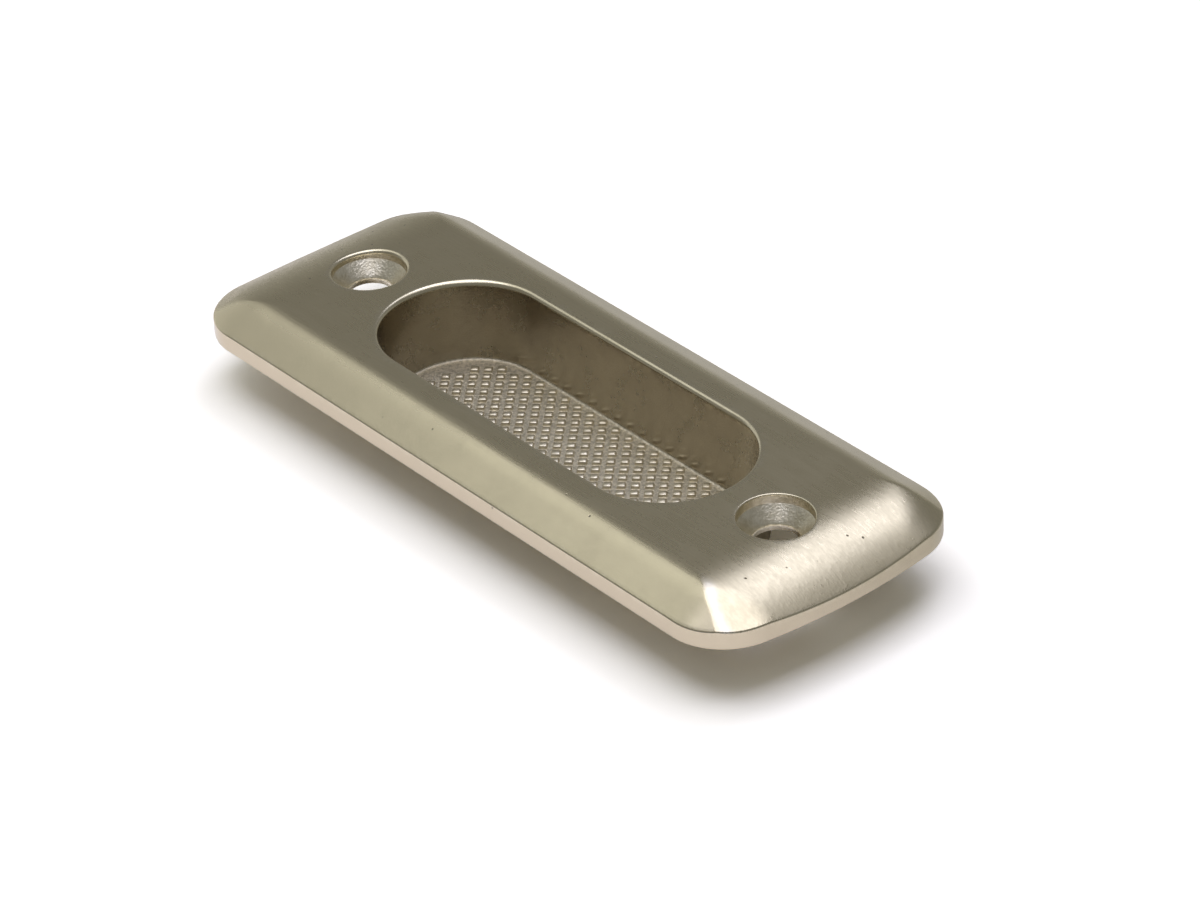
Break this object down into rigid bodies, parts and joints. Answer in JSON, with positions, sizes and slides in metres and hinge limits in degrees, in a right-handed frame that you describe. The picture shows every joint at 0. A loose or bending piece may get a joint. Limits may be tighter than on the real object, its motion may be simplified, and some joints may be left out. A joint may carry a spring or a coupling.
{
  "type": "recessed handle",
  "caption": "Flush pull for a sliding door or drawer: a bevelled plate with a rounded finger cup, a studded cup floor and countersunk screw seats at its ends.",
  "frame": {"origin": "middle of the flange's back plane, which lies on the door's face, on the cup's centre line", "axes": "+X along the plate through both screw holes, +Y across the plate, +Z out of the door towards the hand"},
  "size_m": [0.09, 0.0342, 0.0112],
  "materials": {
    "satin_nickel": "satin nickel plating on a zinc die casting"
  },
  "bodies": {
    "root": {"recessed_handle": "satin_nickel"}
  },
  "joints": []
}
